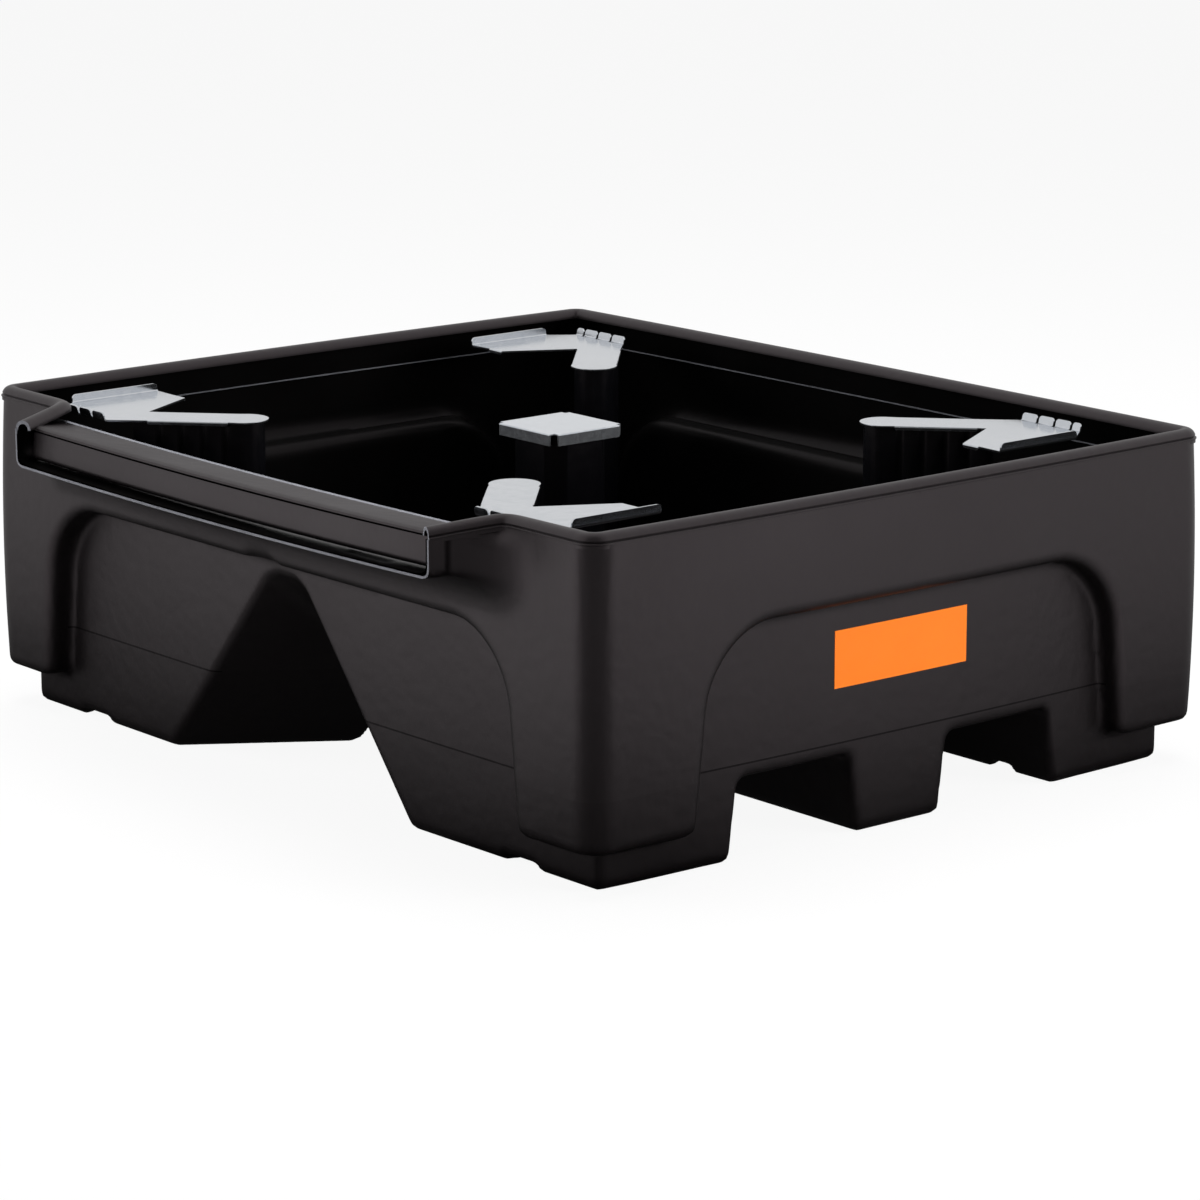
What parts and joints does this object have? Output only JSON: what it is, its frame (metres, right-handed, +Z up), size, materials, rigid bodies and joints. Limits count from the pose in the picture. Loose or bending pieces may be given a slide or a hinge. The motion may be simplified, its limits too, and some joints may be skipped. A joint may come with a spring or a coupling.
{
  "type": "spill containment pallet",
  "caption": "Moulded sump tray on hollow runners with fork tunnels, a pouring spout in its front rim, upright posts and loose sheet-steel supports that carry a palletised load over the sump.",
  "frame": {"origin": "on the ground at the middle of the centre runner, half way between the tray's corner columns", "axes": "+X along the long side and the fork tunnels, -Y towards the pouring spout, +Z up"},
  "size_m": [1.468, 1.287, 0.503],
  "materials": {
    "tray_plastic": "black moulded polyethylene, satin with a fine grain",
    "post_plastic": "black plastic, semi-gloss",
    "zinc_steel": "hot-dip galvanised sheet with spangle",
    "label_film": "plain orange film"
  },
  "bodies": {
    "pallet": {"tray": "tray_plastic", "post_front_left": "post_plastic", "post_front_right": "post_plastic", "post_rear_left": "post_plastic", "post_rear_right": "post_plastic", "post_centre": "post_plastic", "side_label": "label_film"},
    "support_front_left": {"support_front_left": "zinc_steel"},
    "support_front_right": {"support_front_right": "zinc_steel"},
    "support_rear_left": {"support_rear_left": "zinc_steel"},
    "support_rear_right": {"support_rear_right": "zinc_steel"},
    "cap": {"centre_cap": "zinc_steel"}
  },
  "joints": [
    {"name": "lift_front_left", "type": "slide", "parent": "pallet", "child": "support_front_left", "axis": [0, 0, 1], "range_m": [0, 0.25]},
    {"name": "lift_front_right", "type": "slide", "parent": "pallet", "child": "support_front_right", "axis": [0, 0, 1], "range_m": [0, 0.25]},
    {"name": "lift_rear_left", "type": "slide", "parent": "pallet", "child": "support_rear_left", "axis": [0, 0, 1], "range_m": [0, 0.25]},
    {"name": "lift_rear_right", "type": "slide", "parent": "pallet", "child": "support_rear_right", "axis": [0, 0, 1], "range_m": [0, 0.25]},
    {"name": "lift_cap", "type": "slide", "parent": "pallet", "child": "cap", "axis": [0, 0, 1], "range_m": [0, 0.25]}
  ]
}
